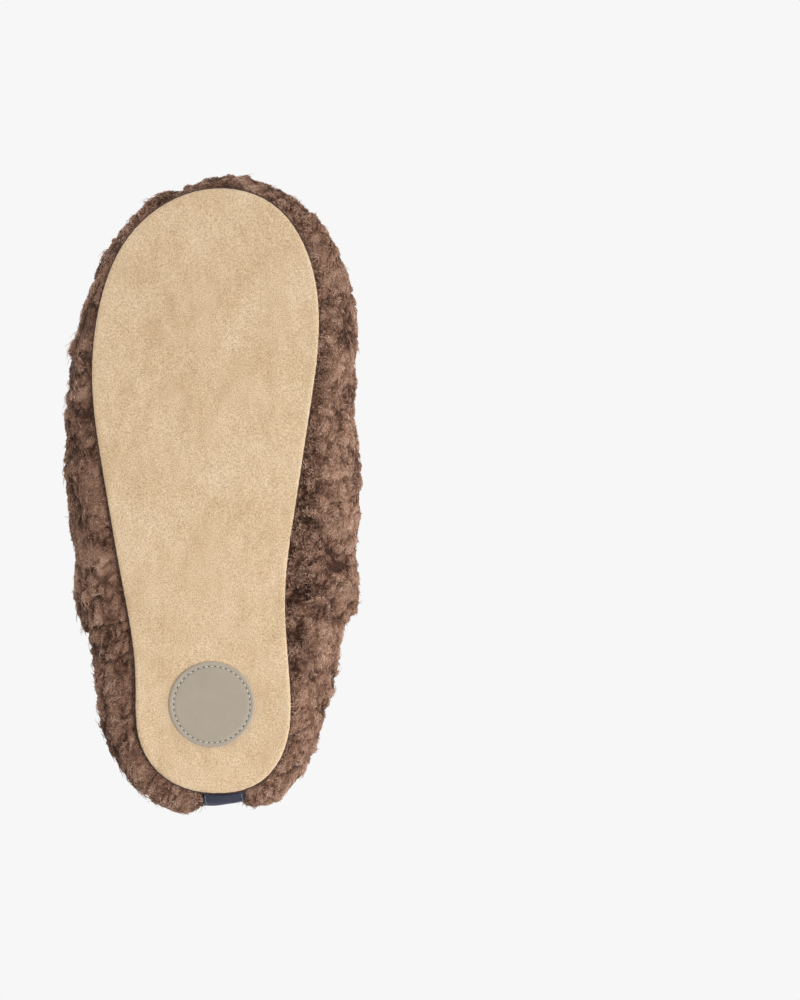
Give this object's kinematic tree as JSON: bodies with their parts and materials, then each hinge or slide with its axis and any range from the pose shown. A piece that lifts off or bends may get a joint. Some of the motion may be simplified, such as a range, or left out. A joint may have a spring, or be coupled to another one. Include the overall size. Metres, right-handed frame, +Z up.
{
  "type": "house slipper",
  "caption": "Closed-heel slip-on house slipper with a curly fleece upper, a soft tan micro-suede sole, a round sewn heel disc and a woven tape down the back seam.",
  "frame": {"origin": "on the floor, under the middle of the slipper's box", "axes": "+Z up, -Y towards the toe, +Y towards the heel, +X towards the inner side of the foot"},
  "size_m": [0.128, 0.2776, 0.0898],
  "materials": {
    "microsuede": "tan micro-suede with a fine mottled nap",
    "leatherette": "grey smooth leatherette, satin",
    "thread": "grey-beige sewing thread",
    "binding": "dark brown fabric binding",
    "foam": "off-white soft foam",
    "fibreboard": "brown pressed fibreboard",
    "lining": "brown short-pile lining",
    "fleece": "brown curly long-pile fleece",
    "tape": "navy woven tape"
  },
  "bodies": {
    "root": {"outsole": "microsuede", "heel_patch": "leatherette", "patch_thread": "thread", "sole_piping": "binding", "sole_seam_thread": "thread", "midsole_foam": "foam", "insole_board": "fibreboard", "insole_cushion": "foam", "footbed_lining": "lining", "vamp_fleece": "fleece", "vamp_interlining": "foam", "vamp_lining": "lining", "lateral_quarter_fleece": "fleece", "medial_quarter_fleece": "fleece", "heel_counter": "fibreboard", "heel_interlining": "foam", "heel_lining": "lining", "heel_tape": "tape"}
  },
  "joints": []
}
